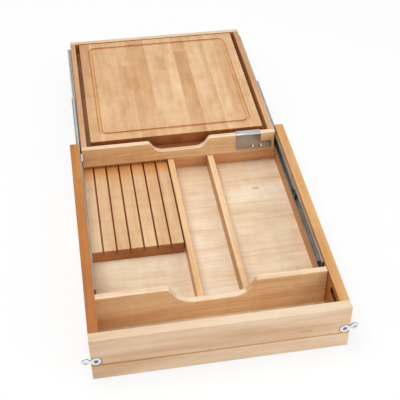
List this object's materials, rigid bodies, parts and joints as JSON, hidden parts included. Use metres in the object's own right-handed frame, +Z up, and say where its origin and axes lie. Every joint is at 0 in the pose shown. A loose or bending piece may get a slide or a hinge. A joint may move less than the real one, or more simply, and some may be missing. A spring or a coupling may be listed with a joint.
{
  "type": "knife and cutting board drawer",
  "caption": "Maple drawer box with a front trough, low dividers and a slotted knife block, under a sliding tray on ball slides that holds a cutting board with a juice groove.",
  "frame": {"origin": "bottom edge of the drawer's front board, in the middle of its width", "axes": "+X to the right seen from the front, +Y from the front board to the rear, +Z up; the tray is at the rear end of its travel, as pictured"},
  "size_m": [0.5036, 0.976, 0.1038],
  "materials": {
    "maple_front": "clear satin lacquer",
    "maple_side": "clear satin lacquer",
    "maple_panel": "clear satin lacquer",
    "maple_block": "clear satin lacquer",
    "maple_board": "oiled",
    "zinc_steel": "zinc plated",
    "nickel_steel": "satin nickel",
    "bright_steel": "polished",
    "black_plastic": "matt"
  },
  "bodies": {
    "drawer": {"drawer_front": "maple_front", "drawer_left_side": "maple_side", "drawer_right_side": "maple_side", "drawer_bottom": "maple_panel", "drawer_back": "maple_side", "scooped_partition": "maple_front", "divider_left": "maple_front", "divider_right": "maple_front", "knife_block": "maple_block", "slide_outer_left": "zinc_steel", "slide_outer_right": "zinc_steel", "slide_bumper_left": "black_plastic", "slide_bumper_right": "black_plastic", "outer_slide_screws": "zinc_steel", "fastener_screws": "bright_steel"},
    "tray": {"tray_front": "maple_front", "tray_back": "maple_front", "tray_left_side": "maple_side", "tray_right_side": "maple_side", "tray_bottom": "maple_panel", "slide_inner_left": "zinc_steel", "slide_inner_right": "zinc_steel", "inner_slide_screws": "zinc_steel", "latch_screws": "bright_steel"},
    "cutting_board": {"cutting_board": "maple_board"},
    "latch": {"latch_plate": "nickel_steel"},
    "fastener_left": {"fastener_left": "zinc_steel"},
    "fastener_right": {"fastener_right": "zinc_steel"},
    "middle_left": {"slide_middle_left": "zinc_steel", "middle_stop_left": "black_plastic"},
    "outer_cage_left": {"outer_cage_left": "zinc_steel", "outer_balls_left": "bright_steel"},
    "inner_cage_left": {"inner_cage_left": "zinc_steel", "inner_balls_left": "bright_steel"},
    "middle_right": {"slide_middle_right": "zinc_steel", "middle_stop_right": "black_plastic"},
    "outer_cage_right": {"outer_cage_right": "zinc_steel", "outer_balls_right": "bright_steel"},
    "inner_cage_right": {"inner_cage_right": "zinc_steel", "inner_balls_right": "bright_steel"}
  },
  "joints": [
    {"name": "tray_slide", "type": "slide", "parent": "drawer", "child": "tray", "axis": [0, -1, 0], "range_m": [0, 0.418]},
    {"name": "board_lift", "type": "slide", "parent": "tray", "child": "cutting_board", "axis": [0, 0, 1], "range_m": [0, 0.08]},
    {"name": "latch_slide", "type": "slide", "parent": "tray", "child": "latch", "axis": [1, 0, 0], "range_m": [0, 0.008]},
    {"name": "left_fastener_swing", "type": "hinge", "parent": "drawer", "child": "fastener_left", "pos_m": [-0.226, 0.0013, 0.0467], "axis": [0, 1, 0], "range_deg": [-15, 15]},
    {"name": "right_fastener_swing", "type": "hinge", "parent": "drawer", "child": "fastener_right", "pos_m": [0.226, 0.0013, 0.0467], "axis": [0, -1, 0], "range_deg": [-27, 3]},
    {"name": "middle_left_slide", "type": "slide", "parent": "drawer", "child": "middle_left", "axis": [0, -1, 0], "range_m": [0, 0.209]},
    {"name": "outer_cage_left_slide", "type": "slide", "parent": "drawer", "child": "outer_cage_left", "axis": [0, -1, 0], "range_m": [0, 0.1045]},
    {"name": "inner_cage_left_slide", "type": "slide", "parent": "drawer", "child": "inner_cage_left", "axis": [0, -1, 0], "range_m": [0, 0.3135]},
    {"name": "middle_right_slide", "type": "slide", "parent": "drawer", "child": "middle_right", "axis": [0, -1, 0], "range_m": [0, 0.209]},
    {"name": "outer_cage_right_slide", "type": "slide", "parent": "drawer", "child": "outer_cage_right", "axis": [0, -1, 0], "range_m": [0, 0.1045]},
    {"name": "inner_cage_right_slide", "type": "slide", "parent": "drawer", "child": "inner_cage_right", "axis": [0, -1, 0], "range_m": [0, 0.3135]}
  ],
  "couplings": [
    {"joint": "middle_left_slide", "follows": "tray_slide", "ratio": 0.5},
    {"joint": "outer_cage_left_slide", "follows": "tray_slide", "ratio": 0.25},
    {"joint": "inner_cage_left_slide", "follows": "tray_slide", "ratio": 0.75},
    {"joint": "middle_right_slide", "follows": "tray_slide", "ratio": 0.5},
    {"joint": "outer_cage_right_slide", "follows": "tray_slide", "ratio": 0.25},
    {"joint": "inner_cage_right_slide", "follows": "tray_slide", "ratio": 0.75}
  ]
}
